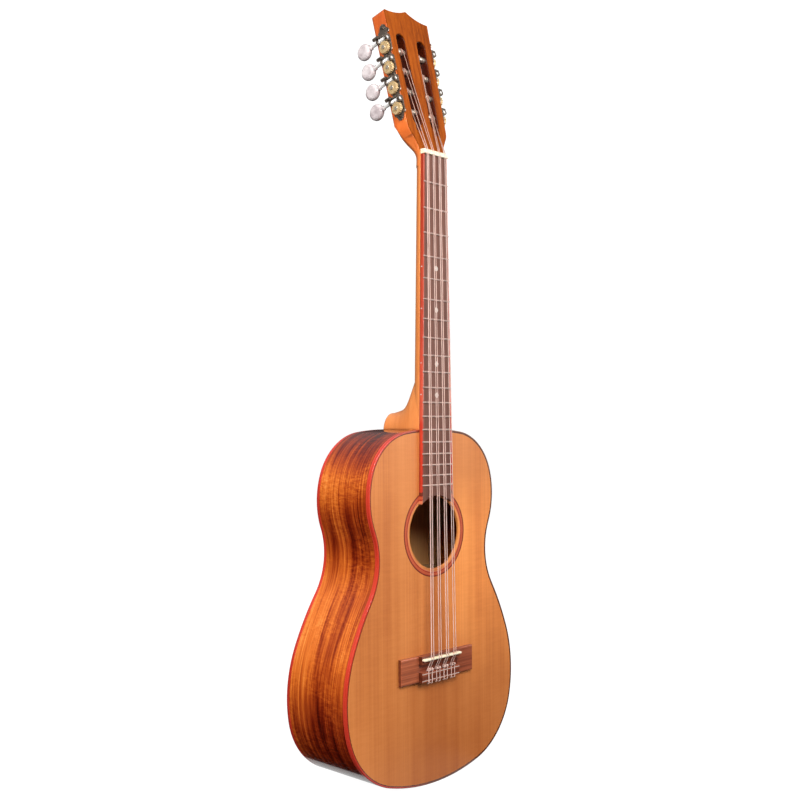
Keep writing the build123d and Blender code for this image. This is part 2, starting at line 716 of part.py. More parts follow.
def string_solid(post_u, post_v, nut_x, saddle_x, tied_x, radius):
    """One string from its tuner post over the nut and the saddle, tied round the tie block."""
    lift = POST_RADIUS + POST_STRING_GAP + radius
    route = [
        head_point(post_u, post_v, POST_DEPTH - lift),
        (nut_x, FACE_Y - STRING_AT_NUT, NUT_Z + NUT_APEX),
        (saddle_x, FACE_Y - STRING_AT_SADDLE, saddle_z),
        (saddle_x, FACE_Y - TIE_HOLE_HEIGHT, tie_front_z),
        (saddle_x, FACE_Y - TIE_HOLE_HEIGHT, bridge_low_z - TIE_LOOP_REACH),
        (tied_x, FACE_Y - tie_loop_height, bridge_low_z - TIE_LOOP_REACH),
        (tied_x, FACE_Y - tie_loop_height, tie_front_z + TIE_LOOP_REACH),
        (tied_x, FACE_Y - TIE_END_HEIGHT, tie_front_z + TIE_LOOP_REACH),
    ]
    with BuildPart() as string:
        with BuildLine() as path:
            FilletPolyline(route, radius=STRING_BENDS)
        with BuildSketch(Plane(origin=path.line @ 0, z_dir=path.line % 0)):
            Circle(radius)
        sweep()
    return string.part


string_courses = []
for course in range(len(NUT_COURSES)):
    direction = 1 if NUT_COURSES[course] > 0 else -1
    outer_course = course in (0, len(NUT_COURSES) - 1)
    with BuildPart() as strings:
        for pair_side in (1, -1):
            post = (0 if outer_course else 2) + (0 if pair_side == 1 else 1)
            outwards = direction * pair_side
            add(string_solid(
                direction * WINDING_U[post],
                POSTS_V[post],
                NUT_COURSES[course] + outwards * NUT_PAIR / 2,
                SADDLE_COURSES[course] + outwards * SADDLE_PAIR / 2,
                SADDLE_COURSES[course] + outwards * (SADDLE_PAIR / 2 + TIE_SHIFT),
                STRING_RADII[course],
            ))
    string_courses.append(strings.part)
    finish(strings.part, f"strings_course_{course + 1}")

# ------------------------------------------------------------------ nut, saddle and bridge
with BuildPart() as nut:
    with BuildSketch(Plane.YZ):
        with BuildLine():
            Polyline(
                (FACE_Y, NUT_Z),
                (FACE_Y - NUT_HEIGHT, NUT_Z),
                (FACE_Y - NUT_HEIGHT, NUT_Z + NUT_APEX),
                (FACE_Y - NUT_BACK_HEIGHT, NUT_Z + NUT_THICKNESS),
                (FACE_Y, NUT_Z + NUT_THICKNESS),
                close=True,
            )
        make_face()
    extrude(amount=board_half_width(0), both=True)
    top_edges = nut.edges().filter_by(lambda edge: edge.center().Y < FACE_Y - NUT_BACK_HEIGHT / 2)
    fillet(top_edges, NUT_ROUND)
    for course_part in string_courses:
        add(course_part, mode=Mode.SUBTRACT)
finish(nut.part, "nut")

with BuildPart() as saddle:
    with BuildSketch(FACE.offset(CHANNEL_HEIGHT)):
        with Locations((0, saddle_z)):
            SlotOverall(SADDLE_LENGTH, SADDLE_THICKNESS)
    extrude(amount=STRING_AT_SADDLE - CHANNEL_HEIGHT)
    top_edges = saddle.faces().sort_by(Axis.Y)[0].edges()
    fillet(top_edges, SADDLE_ROUND)
    saddle_blank = saddle.part
    for course_part in string_courses:
        add(course_part, mode=Mode.SUBTRACT)
finish(saddle.part, "saddle")

with BuildPart() as bridge:
    with BuildSketch(FACE):
        with Locations((0, bridge_low_z + BRIDGE_HEIGHT_Z / 2)):
            Rectangle(2 * BRIDGE_HALF_LENGTH, BRIDGE_HEIGHT_Z)
    extrude(amount=WING_HEIGHT)
    wing_edges = bridge.faces().sort_by(Axis.Y)[0].edges()
    fillet(wing_edges, WING_ROUND)
    with BuildSketch(FACE):
        with Locations((0, bridge_low_z + BRIDGE_HEIGHT_Z / 2)):
            Rectangle(2 * BRIDGE_CENTRE_HALF, BRIDGE_HEIGHT_Z)
    extrude(amount=BRIDGE_HEIGHT)
    block_edges = bridge.faces().sort_by(Axis.Y)[0].edges()
    fillet(block_edges, BLOCK_ROUND)
    channel_top_z = saddle_z - SADDLE_THICKNESS / 2 - SADDLE_WALL
    with BuildSketch(FACE.offset(CHANNEL_HEIGHT)):
        with Locations((0, (channel_top_z + tie_front_z) / 2)):
            Rectangle(2 * BRIDGE_CENTRE_HALF, channel_top_z - tie_front_z)
    extrude(amount=BRIDGE_HEIGHT, mode=Mode.SUBTRACT)
    add(saddle_blank, mode=Mode.SUBTRACT)
    for course_x in SADDLE_COURSES:
        for pair_x in (course_x - SADDLE_PAIR / 2, course_x + SADDLE_PAIR / 2):
            with BuildSketch(Plane(origin=(pair_x, FACE_Y - TIE_HOLE_HEIGHT, bridge_low_z))):
                Circle(TIE_HOLE_RADIUS)
            extrude(amount=TIE_BLOCK_LENGTH, mode=Mode.SUBTRACT)
    for line_z in (bridge_low_z + TIE_LINE_INSET, tie_front_z - TIE_LINE_INSET):
        with BuildSketch(FACE.offset(BRIDGE_HEIGHT)):
            with Locations((0, line_z)):
                Rectangle(2 * BRIDGE_CENTRE_HALF, TIE_LINE_WIDTH)
        extrude(amount=-TIE_LINE_WIDTH, mode=Mode.SUBTRACT)
finish(bridge.part, "bridge")

with BuildPart() as tie_block_lines:
    for line_z in (bridge_low_z + TIE_LINE_INSET, tie_front_z - TIE_LINE_INSET):
        with BuildSketch(FACE.offset(BRIDGE_HEIGHT)):
            with Locations((0, line_z)):
                Rectangle(2 * BRIDGE_CENTRE_HALF - 2 * BLOCK_ROUND, TIE_LINE_WIDTH)
        extrude(amount=-TIE_LINE_WIDTH)
finish(tie_block_lines.part, "tie_block_lines")

# ------------------------------------------------------------------ tuners
PLATE_TOP = SIDE.offset(PLATE_THICKNESS)

with BuildPart() as plate_screws_right:
    for screw_x, screw_turn in zip(SCREWS_X, SCREW_TURNS):
        with BuildSketch(PLATE_TOP):
            with Locations((screw_x, 0)):
                Circle(SCREW_HEAD_RADIUS)
        extrude(amount=SCREW_HEAD_HEIGHT)
        with BuildSketch(PLATE_TOP):
            with Locations((screw_x, 0)):
                Circle(SCREW_SHANK_RADIUS)
        extrude(amount=-SCREW_LENGTH)
        with BuildSketch(PLATE_TOP.offset(SCREW_HEAD_HEIGHT)):
            with Locations((screw_x, 0)):
                Rectangle(2 * SCREW_HEAD_RADIUS, SCREW_SLOT, rotation=screw_turn)
        extrude(amount=-SCREW_SLOT, mode=Mode.SUBTRACT)

with BuildPart() as right_tuner_plate:
    with BuildSketch(SIDE):
        with Locations((POSTS_X[0] - END_SCREW, 0)):
            Rectangle(SCREWS_X[1] - SCREWS_X[0], PLATE_WAIST, align=(Align.MIN, Align.CENTER))
        for post_x in POSTS_X:
            with Locations((post_x + PLATE_PANEL_SHIFT, 0)):
                RectangleRounded(PLATE_PANEL, PLATE_WIDTH, PLATE_CORNER)
        for screw_x, tip in ((SCREWS_X[0], -END_LOBE), (SCREWS_X[1], END_LOBE)):
            with Locations((screw_x, 0)):
                Circle(END_LOBE)
            with Locations((screw_x - tip, SIDE_LOBE_SPREAD), (screw_x - tip, -SIDE_LOBE_SPREAD)):
                Circle(SIDE_LOBE)
    extrude(amount=PLATE_THICKNESS)
    for post_x in POSTS_X:
        for ear_start, ear_end in (EAR_FRONT, EAR_BACK):
            with BuildSketch(worm_plane(post_x, ear_start)):
                Circle(EAR_RADIUS)
                with Locations((-(GEAR_OUT - PLATE_THICKNESS / 2) / 2, 0)):
                    Rectangle(GEAR_OUT - PLATE_THICKNESS / 2, 2 * EAR_RADIUS)
            extrude(amount=ear_end - ear_start)
        with BuildSketch(worm_plane(post_x, EAR_FRONT[0])):
            with Locations((PLATE_THICKNESS - GEAR_OUT, -WORM_WALL)):
                Rectangle(WORM_WALL_REACH, WORM_WALL_THICKNESS, align=(Align.MIN, Align.MAX))
        extrude(amount=EAR_BACK[1] - EAR_FRONT[0])
        with BuildSketch(worm_plane(post_x, KNUCKLE_START)):
            with Locations((KNUCKLE_OUT, KNUCKLE_OVERLAP - WORM_WALL - KNUCKLE_RADIUS)):
                Circle(KNUCKLE_RADIUS)
        extrude(amount=KNUCKLE_LENGTH)
        with BuildSketch(worm_plane(post_x, 0)):
            Circle(WORM_SHAFT_RADIUS + RUNNING_GAP)
        extrude(amount=SHAFT_END_DEPTH, mode=Mode.SUBTRACT)
        with BuildSketch(post_plane(post_x)):
            Circle(POST_RADIUS + RUNNING_GAP)
        extrude(amount=PLATE_THICKNESS * 2, mode=Mode.SUBTRACT)
    for screw_x in SCREWS_X:
        with BuildSketch(SIDE):
            with Locations((screw_x, 0)):
                Circle(SCREW_SHANK_RADIUS)
        extrude(amount=PLATE_THICKNESS, mode=Mode.SUBTRACT)
finish(right_tuner_plate.part, "right_tuner_plate")
finish(mirror(right_tuner_plate.part, about=Plane.YZ), "left_tuner_plate")

plate_screws_left = mirror(plate_screws_right.part, about=Plane.YZ)
with BuildPart() as plate_screws:
    add(plate_screws_right.part)
    add(plate_screws_left)
finish(plate_screws.part, "plate_screws")


def gear_part(post_x):
    """Brass worm wheel with a boss, a centre screw and a tooth gap that faces the worm."""
    plane = post_plane(post_x)
    gear_low = GEAR_OUT - GEAR_THICKNESS / 2
    with BuildPart() as gear:
        with BuildSketch(plane.offset(gear_low)):
            Circle(GEAR_RADIUS)
            with PolarLocations(GEAR_RADIUS, GEAR_TEETH):
                Circle(TOOTH_GAP_RADIUS, mode=Mode.SUBTRACT)
        extrude(amount=GEAR_THICKNESS)
        with BuildSketch(plane.offset(PLATE_THICKNESS + GEAR_CLEARANCE)):
            Circle(GEAR_BOSS_RADIUS)
        extrude(amount=gear_low - PLATE_THICKNESS - GEAR_CLEARANCE)
        with BuildSketch(plane.offset(gear_low - GEAR_THICKNESS)):
            Circle(POST_STUB_RADIUS)
        extrude(amount=GEAR_THICKNESS * 3, mode=Mode.SUBTRACT)
    return gear.part


def post_part(post_x, post_v, winding_u):
    """String post from its gear screw through the side wall and the slot into the middle rib."""
    plane = post_plane(post_x)
    gear_top = GEAR_OUT + GEAR_THICKNESS / 2
    string_place = SIDE.to_local_coords(head_point(winding_u, post_v, POST_DEPTH))
    with BuildPart() as post:
        with BuildSketch(plane.offset(PLATE_THICKNESS + GEAR_CLEARANCE)):
            Circle(POST_RADIUS)
        extrude(amount=-(POST_LENGTH + PLATE_THICKNESS))
        with BuildSketch(plane.offset(PLATE_THICKNESS + GEAR_CLEARANCE)):
            Circle(POST_STUB_RADIUS)
        extrude(amount=gear_top - PLATE_THICKNESS - GEAR_CLEARANCE)
        with BuildSketch(plane.offset(gear_top)):
            Circle(GEAR_SCREW_RADIUS)
        extrude(amount=GEAR_SCREW_HEIGHT)
        fillet(post.faces().sort_by(Axis(plane.origin, plane.z_dir))[-1].edges(), GEAR_SCREW_ROUND)
        with BuildSketch(plane.offset(gear_top + GEAR_SCREW_HEIGHT)):
            Rectangle(2 * GEAR_SCREW_RADIUS, SCREW_SLOT, rotation=GEAR_SCREW_TURN)
        extrude(amount=-SCREW_SLOT, mode=Mode.SUBTRACT)
        hole_centre = plane.from_local_coords(Vector(0, 0, string_place.Z))
        hole_plane = Plane(origin=hole_centre, x_dir=plane.z_dir, z_dir=-HEAD.z_dir)
        with BuildSketch(hole_plane.offset(-POST_RADIUS * 2)):
            Circle(STRING_HOLE_RADIUS)
        extrude(amount=POST_RADIUS * 4, mode=Mode.SUBTRACT)
    return post.part


def worm_part(post_x):
    """Worm shaft: a single-start thread between the two ears, a collar and the button's shank."""
    thread_length = WORM_TURNS * WORM_PITCH
    thread_start = POST_DEPTH - thread_length / 2
    thread_plane = worm_plane(post_x, thread_start)
    section = thread_plane.location * Pos(0, WORM_THROW) * Circle(WORM_CORE)
    thread = Solid.extrude_linear_with_rotation(
        section.face(), thread_plane.origin, thread_plane.z_dir * thread_length, 360 * WORM_TURNS)
    with BuildPart() as worm:
        add(thread)
        with BuildSketch(worm_plane(post_x, EAR_FRONT[0] + SHAFT_RECESS)):
            Circle(WORM_SHAFT_RADIUS)
        extrude(amount=SHAFT_END_DEPTH - EAR_FRONT[0] - SHAFT_RECESS)
        with BuildSketch(worm_plane(post_x, EAR_BACK[1] + GEAR_CLEARANCE)):
            Circle(COLLAR_RADIUS)
        extrude(amount=COLLAR_LENGTH)
    return worm.part


def button_part(post_x):
    """Oval button with a neck, bored for the worm shaft."""
    centre = worm_plane(post_x, BUTTON_DEPTH)
    flat = Plane(origin=centre.origin, x_dir=centre.z_dir, z_dir=centre.x_dir)
    with BuildPart() as button:
        with BuildSketch(flat):
            Ellipse(BUTTON_LENGTH / 2, BUTTON_WIDTH / 2)
        extrude(amount=BUTTON_THICKNESS / 2, both=True)
        fillet(button.edges(), BUTTON_ROUND)
        with BuildSketch(worm_plane(post_x, BUTTON_DEPTH - BUTTON_LENGTH / 2 - BUTTON_NECK_LENGTH)):
            Circle(BUTTON_NECK_RADIUS)
        extrude(amount=BUTTON_NECK_LENGTH + BUTTON_LENGTH / 4)
        with BuildSketch(worm_plane(post_x, 0)):
            Circle(WORM_SHAFT_RADIUS)
        extrude(amount=SHAFT_END_DEPTH, mode=Mode.SUBTRACT)
    return button.part


for number, (post_x, post_v, winding_u) in enumerate(zip(POSTS_X, POSTS_V, WINDING_U), start=1):
    right_pieces = {
        "gear": gear_part(post_x),
        "string_post": post_part(post_x, post_v, winding_u),
        "worm_shaft": worm_part(post_x),
        "button": button_part(post_x),
    }
    for kind, piece in right_pieces.items():
        finish(piece, f"{kind}_right_{number}")
        finish(mirror(piece, about=Plane.YZ), f"{kind}_left_{number}")
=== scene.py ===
import json
import math

import bpy
from mathutils import Matrix, Vector


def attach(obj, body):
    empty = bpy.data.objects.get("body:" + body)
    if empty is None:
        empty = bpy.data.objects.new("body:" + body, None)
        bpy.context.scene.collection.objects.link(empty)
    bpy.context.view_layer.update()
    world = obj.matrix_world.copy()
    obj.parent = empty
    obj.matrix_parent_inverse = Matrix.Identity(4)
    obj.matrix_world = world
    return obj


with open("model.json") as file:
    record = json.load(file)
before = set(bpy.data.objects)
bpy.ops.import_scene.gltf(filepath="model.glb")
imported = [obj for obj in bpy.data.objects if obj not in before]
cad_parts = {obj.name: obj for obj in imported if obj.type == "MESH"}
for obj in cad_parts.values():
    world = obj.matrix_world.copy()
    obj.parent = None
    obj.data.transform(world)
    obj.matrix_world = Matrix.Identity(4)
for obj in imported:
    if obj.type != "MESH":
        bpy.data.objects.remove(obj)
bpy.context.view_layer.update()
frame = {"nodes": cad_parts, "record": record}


# ------------------------------------------------------------------ where things are, in metres
FACE_Y = -0.04                          # front of the soundboard
BODY_LENGTH = 0.364
BACK_INSIDE = (0.0908, 0.0914)          # behind the face at the tail: bare wood, then lacquered wood
BACK_SLOPE = 0.05379                    # fall of the back towards the face, per metre of height
BINDING_SEAM = (0.0044, 0.0056)         # behind the face: where the side meets the binding
HOLE_Z = 0.257547
ROSETTE_REACH = (0.048, 0.0482)
BRIDGE_BLOCK_END = 0.029                # half the length of the bridge's raised middle
BRIDGE_END = 0.0548
HEAD_ORIGIN = Vector((0, FACE_Y, 0.652247))
HEAD_TILT = math.radians(13.5)
NUT_Z = 0.647
TIE_FRONT = Vector((0, FACE_Y - 0.0088, 0.119947))


# ------------------------------------------------------------------ colours and shader building
def srgb(red, green, blue):
    """A colour given as 0 to 255 display values, as the linear RGBA that shaders use."""
    channels = [value / 255 for value in (red, green, blue)]
    linear = [value / 12.92 if value <= 0.04045 else ((value + 0.055) / 1.055) ** 2.4 for value in channels]
    return (*linear, 1.0)


class Finish:
    """One procedural material being built. Textures run in object space, in metres."""

    def __init__(self, name, **constants):
        self.material = bpy.data.materials.new(name)
        self.material.use_nodes = True
        self.tree = self.material.node_tree
        self.bsdf = self.tree.nodes["Principled BSDF"]
        self.place = self.add("ShaderNodeTexCoord").outputs["Object"]
        for key, value in constants.items():
            self.bsdf.inputs[key.replace("_", " ")].default_value = value

    def add(self, kind, inputs=None, **settings):
        node = self.tree.nodes.new(kind)
        for key, value in settings.items():
            setattr(node, key, value)
        for key, value in (inputs or {}).items():
            if isinstance(value, bpy.types.NodeSocket):
                self.tree.links.new(value, node.inputs[key])
            else:
                node.inputs[key].default_value = value
        return node

    def shade(self, **sockets):
        for key, value in sockets.items():
            self.tree.links.new(value, self.bsdf.inputs[key.replace("_", " ")])

    def math(self, operation, first, second=0.0):
        return self.add("ShaderNodeMath", {0: first, 1: second}, operation=operation).outputs[0]

    def stretched(self, scale, turn=(0, 0, 0)):
        """Object coordinates scaled per axis, in features per metre."""
        node = self.add("ShaderNodeMapping", {"Vector": self.place, "Rotation": turn, "Scale": scale})
        return node.outputs[0]

    def mirrored(self):
        """Object coordinates folded about the centre joint, for book-matched boards."""
        split = self.add("ShaderNodeSeparateXYZ", {0: self.place})
        folded = self.math("ABSOLUTE", split.outputs[0])
        joined = self.add("ShaderNodeCombineXYZ", {0: folded, 1: split.outputs[1], 2: split.outputs[2]})
        self.place = joined.outputs[0]
        return self

    def axis(self, number):
        return self.add("ShaderNodeSeparateXYZ", {0: self.place}).outputs[number]

    def noise(self, vector, detail=3.0, rough=0.5, bend=0.0):
        node = self.add("ShaderNodeTexNoise", {"Vector": vector, "Scale": 1.0, "Detail": detail,
                                               "Roughness": rough, "Distortion": bend})
        return node.outputs["Fac"]

    def span(self, value, low, high, to_low=0.0, to_high=1.0):
        """value rescaled from low..high and held inside the new range."""
        node = self.add("ShaderNodeMapRange", {"Value": value, "From Min": low, "From Max": high,
                                               "To Min": to_low, "To Max": to_high})
        return node.outputs[0]

    def ramp(self, value, *stops):
        node = self.add("ShaderNodeValToRGB", {0: value})
        marks = node.color_ramp.elements
        while len(marks) < len(stops):
            marks.new(1.0)
        for mark, (at, colour) in zip(marks, stops):
            mark.position = at
            mark.color = colour
        return node.outputs[0]

    def blend(self, factor, first, second, mode="MIX"):
        node = self.add("ShaderNodeMix", {0: factor, 6: first, 7: second}, data_type="RGBA",
                        blend_type=mode)
        return node.outputs[2]

    def bump(self, height, depth):
        """Surface relief of the given depth in metres."""
        node = self.add("ShaderNodeBump", {"Height": height, "Distance": depth, "Strength": 1.0})
        self.shade(Normal=node.outputs[0])

    def tones(self, *layers):
        """Noise layers given as (value, share), added up round a middle of 0.5."""
        total = 0.5
        for value, share in layers:
            total = self.math("ADD", total, self.span(value, 0.3, 0.7, -share, share))
        return total

    def paint(self, colour):
        self.colour = colour
        self.shade(Base_Color=colour)


def wood(name, light, middle, dark, across, gloss, band=60, fibre=900, pore=0.35, contrast=0.3,
         specular=0.5):
    """Planed and lacquered wood. across gives the share of the grain spacing along X, Y and Z, where
    a small share is the direction the fibres run in; band and fibre are streaks per metre."""
    roughness, coat = gloss
    finish = Finish(name, Coat_Weight=coat, Coat_Roughness=0.08, IOR=1.45, Specular_IOR_Level=specular)
    sway = finish.noise(finish.stretched((9, 9, 9)), 1.0)
    streak = finish.noise(finish.stretched([band * share + 2 for share in across]), 4.0, 0.55, 0.6)
    fine = finish.noise(finish.stretched([fibre * share + 14 for share in across]), 3.0, 0.6)
    pores = finish.noise(finish.stretched([fibre * 1.6 * share + 60 for share in across]), 1.0)
    tone = finish.tones((streak, contrast), (sway, contrast * 0.5), (fine, contrast * 0.4))
    colour = finish.ramp(tone, (0.0, dark), (0.5, middle), (1.0, light))
    holes = finish.span(pores, 0.66, 0.74)
    finish.paint(finish.blend(finish.math("MULTIPLY", holes, pore), colour, dark))
    finish.shade(Roughness=finish.span(fine, 0.25, 0.75, roughness - 0.06, roughness + 0.08))
    finish.bump(finish.math("SUBTRACT", fine, holes), 0.00006)
    return finish


def cedar_top(name):
    """Quarter-sawn boards matched at the centre: straight fine lines, faint silk and soft mottling, with
    painted shade low on the board and painted light on its right.
    """
    finish = Finish(name, Coat_Weight=0.12, Coat_Roughness=0.3, IOR=1.45)
    sideways = finish.axis(0)
    height = finish.axis(2)
    right_side = finish.span(sideways, 0.0, 0.04)
    # Share of the painted shade low on the board, from left to right across it.
    low_shade_share = finish.math("SUBTRACT", finish.span(sideways, -0.11, -0.01, 0.08, 0.95),
                              finish.span(sideways, 0.03, 0.09, 0.0, 0.35))
    finish.mirrored()
    lines = finish.noise(finish.stretched((820, 20, 4)), 2.0, 0.6)
    bands = finish.noise(finish.stretched((70, 8, 1.2)), 3.0, 0.5, 0.3)
    silk = finish.noise(finish.stretched((60, 40, 420)), 3.0, 0.6)
    mottle = finish.noise(finish.stretched((13, 13, 7)), 2.0, 0.5)
    centre = finish.span(finish.axis(0), 0.0, 0.03, 0.12, 0.0)
    tone = finish.tones((lines, 0.16), (bands, 0.22), (silk, 0.07), (mottle, 0.2))
    tone = finish.math("SUBTRACT", tone, centre)
    colour = finish.ramp(tone, (0.0, srgb(180, 98, 44)), (0.5, srgb(202, 120, 59)),
                         (1.0, srgb(218, 137, 73)))
    cloudy = finish.math("ADD", height, finish.span(mottle, 0.3, 0.7, -0.02, 0.02))
    # Painted shade: the board is darkened towards the tail, most from the centre joint rightwards.
    painted_low_shade = finish.math("MULTIPLY", finish.span(cloudy, 0.17, 0.05), low_shade_share)
    colour = finish.blend(painted_low_shade, colour, (0.62, 0.5, 0.38, 1), "MULTIPLY")
    # Painted light: the right of the board is brightened from about 0.1 to 0.3 m up.
    painted_light_right = finish.math("MULTIPLY", finish.span(cloudy, 0.1, 0.19), finish.span(height, 0.32, 0.26))
    painted_light_right = finish.math("MULTIPLY", painted_light_right, right_side)
    finish.paint(finish.blend(painted_light_right, colour, (1.36, 1.42, 1.4, 1), "MULTIPLY"))
    finish.shade(Roughness=finish.span(lines, 0.3, 0.7, 0.4, 0.5))
    finish.bump(lines, 0.00002)
    return finish


def figured(name, across, zones, matched=False):
    """Lacquered acacia: uneven dark streaks along the grain, curl rippling across it, and light and
    dark zones given as (height, level) up the instrument, which on the sides are partly the wood's
    figure and partly painted shade. Low down, the wood is painted lighter towards the back edge, as
    painted light."""
    finish = Finish(name, Coat_Weight=1.0, Coat_Roughness=0.04, IOR=1.4, Specular_IOR_Level=0.2)
    if matched:
        finish.mirrored()
    along = [1 - share for share in across]

    def layer(cross_scale, along_scale, detail, rough=0.5, bend=0.0):
        scale = [cross_scale * c + along_scale * a for c, a in zip(across, along)]
        return finish.noise(finish.stretched(scale), detail, rough, bend)

    streak = layer(120, 5, 5.0, 0.66, 0.8)
    broad = layer(34, 4, 2.0, 0.5, 0.4)
    lines = layer(430, 9, 3.0, 0.6, 0.5)
    curl = layer(130, 400, 3.0, 0.6, 0.8)
    patch = layer(24, 22, 2.0)
    fine = layer(1300, 24, 3.0, 0.6)
    height = finish.span(finish.axis(2), 0.0, BODY_LENGTH)
    # Levels up the body: the wood's own zones, and on the sides painted shade as well.
    level = finish.ramp(height, *[(at / BODY_LENGTH, (shade, shade, shade, 1)) for at, shade in zones])
    curl_share = finish.math("MULTIPLY", finish.span(curl, 0.32, 0.68, -0.13, 0.13),
                             finish.span(patch, 0.35, 0.6))
    tone = finish.tones((streak, 0.23), (broad, 0.17), (lines, 0.15), (fine, 0.1), (patch, 0.06))
    tone = finish.math("ADD", finish.math("ADD", tone, curl_share), finish.math("SUBTRACT", level, 0.5))
    # Painted light: the wood is brightened towards the back edge, below about 0.24 m.
    painted_light_rear = finish.math("MULTIPLY", finish.span(finish.axis(1), 0.008, 0.045, 0.0, 0.24),
                            finish.span(finish.axis(2), 0.24, 0.1))
    tone = finish.math("ADD", tone, painted_light_rear)
    colour = finish.ramp(tone, (0.0, srgb(58, 8, 3)), (0.22, srgb(108, 25, 5)), (0.45, srgb(158, 62, 17)),
                         (0.7, srgb(204, 102, 34)), (1.0, srgb(232, 142, 66)))
    pores = finish.span(layer(2200, 90, 1.0), 0.64, 0.74)
    colour = finish.blend(finish.math("MULTIPLY", pores, 0.35), colour, srgb(60, 18, 6))
    # The inside is unfinished wood, from half way through the plate.
    if matched:
        from_back = finish.math("ADD", finish.axis(1), finish.math("MULTIPLY", finish.axis(2), BACK_SLOPE))
        bare = finish.blend(finish.span(fine, 0.3, 0.7), srgb(228, 172, 112), srgb(198, 140, 86))
        outside = finish.span(from_back, *[FACE_Y + depth for depth in BACK_INSIDE])
        colour = finish.blend(outside, bare, colour)
    else:
        seam = finish.span(finish.axis(1), *[FACE_Y + depth for depth in BINDING_SEAM], 0.55, 0.0)
        colour = finish.blend(seam, colour, srgb(80, 14, 6))
    finish.paint(colour)
    finish.shade(Roughness=finish.span(fine, 0.3, 0.7, 0.34, 0.46))
    finish.bump(fine, 0.00001)
    return finish


# ------------------------------------------------------------------ materials
UPRIGHT = (1.0, 1.0, 0.0)
DEPTHWAYS = (0.0, 1.0, 0.0)
CROSSWAYS = (0.0, 1.0, 1.0)

# Side levels up the body: partly darker and lighter wood, partly painted shade at the tail, the waist and
# the top.
SIDE_FIGURE_AND_SHADE = [(0.0, 0.08), (0.05, 0.18), (0.1, 0.4), (0.14, 0.62), (0.215, 0.62), (0.25, 0.44),
              (0.28, 0.46), (0.315, 0.66), (0.34, 0.38), (BODY_LENGTH, 0.2)]
BACK_ZONES = [(0.0, 0.4), (0.1, 0.6), (0.2, 0.45), (0.3, 0.6), (BODY_LENGTH, 0.4)]

finishes = {
    "soundboard_wood": cedar_top("cedar"),
    "side_wood": figured("figured_side", DEPTHWAYS, SIDE_FIGURE_AND_SHADE),
    "back_wood": figured("figured_back", (1.0, 0.0, 0.0), BACK_ZONES, matched=True),
    "binding_wood": wood("red_binding", srgb(206, 66, 44), srgb(186, 50, 34), srgb(132, 30, 20),
                         DEPTHWAYS, (0.3, 0.6), band=300, pore=0.2),
    "spruce": wood("spruce", srgb(196, 160, 116), srgb(180, 142, 98), srgb(150, 110, 72),
                   CROSSWAYS, (0.55, 0.0), band=300, pore=0.1),
    "block_wood": wood("block_wood", srgb(170, 112, 72), srgb(152, 94, 58), srgb(116, 68, 42),
                       UPRIGHT, (0.55, 0.0)),
    "dark_line": wood("dark_line", srgb(84, 44, 32), srgb(64, 32, 24), srgb(38, 18, 14),
                      UPRIGHT, (0.35, 0.6)),
    "neck_wood": wood("neck_wood", srgb(234, 150, 84), srgb(220, 130, 68), srgb(186, 96, 42),
                      UPRIGHT, (0.34, 0.5), band=110, pore=0.3, contrast=0.26),
    "veneer_wood": wood("head_veneer", srgb(166, 84, 20), srgb(146, 68, 12), srgb(108, 44, 6),
                        (1.0, 0.4, 0.0), (0.6, 0.0), band=240, pore=0.3, contrast=0.34, specular=0.1),
    "fingerboard_wood": wood("fingerboard_wood", srgb(136, 94, 80), srgb(113, 73, 60), srgb(80, 46, 36),
                             UPRIGHT, (0.48, 0.0), band=220, pore=0.6, specular=0.35),
    "bridge_wood": wood("bridge_wood", srgb(170, 92, 60), srgb(146, 72, 45), srgb(92, 40, 24),
                        CROSSWAYS, (0.4, 0.2), band=260, pore=0.6, contrast=0.4),
}

# The bridge's left wing is paler, and its end faces are darkened with painted shade.
bridge = finishes["bridge_wood"]
paler = bridge.span(bridge.axis(0), -BRIDGE_BLOCK_END - 0.0001, -BRIDGE_BLOCK_END - 0.0004, 0.0, 1.0)
bridge.paint(bridge.blend(paler, bridge.colour, (1.35, 1.5, 1.5, 1), "MULTIPLY"))
from_middle = bridge.math("ABSOLUTE", bridge.axis(0))
block_end = bridge.math("MULTIPLY",
                        bridge.span(from_middle, BRIDGE_BLOCK_END - 0.0008, BRIDGE_BLOCK_END - 0.0003),
                        bridge.span(from_middle, BRIDGE_BLOCK_END + 0.0002, BRIDGE_BLOCK_END))
wing_end = bridge.span(from_middle, BRIDGE_END - 0.0005, BRIDGE_END - 0.0001)
# Painted shade on the end faces of the raised middle and of the wings.
end_face_shade = bridge.math("MAXIMUM", block_end, wing_end)
bridge.paint(bridge.blend(end_face_shade, bridge.colour, (0.42, 0.36, 0.34, 1), "MULTIPLY"))

# The binding's narrow front face is painted browner than its side round the tail and the right of the body,
# as painted shade.
binding = finishes["binding_wood"]
near_front = binding.span(binding.axis(1), FACE_Y + 0.0002, FACE_Y + 0.0005, 1.0, 0.0)
front_face_shade = binding.math("MULTIPLY", near_front,
                          binding.span(binding.axis(1), FACE_Y - 0.0006, FACE_Y - 0.0003))
front_face_shade = binding.math("MULTIPLY", front_face_shade, binding.span(binding.axis(0), -0.07, -0.01))
binding.paint(binding.blend(front_face_shade, binding.colour, srgb(104, 56, 36)))
# Along the fingerboard it is browner towards the nut and pinker towards the body.
neck_red = binding.blend(binding.span(binding.axis(2), 0.42, 0.6), (1.12, 2.1, 2.2, 1), (0.8, 1.15, 0.8, 1))
on_neck = binding.span(binding.axis(2), 0.37, 0.375)
neck_red = binding.blend(1.0, binding.colour, neck_red, "MULTIPLY")
binding.paint(binding.blend(on_neck, binding.colour, neck_red))

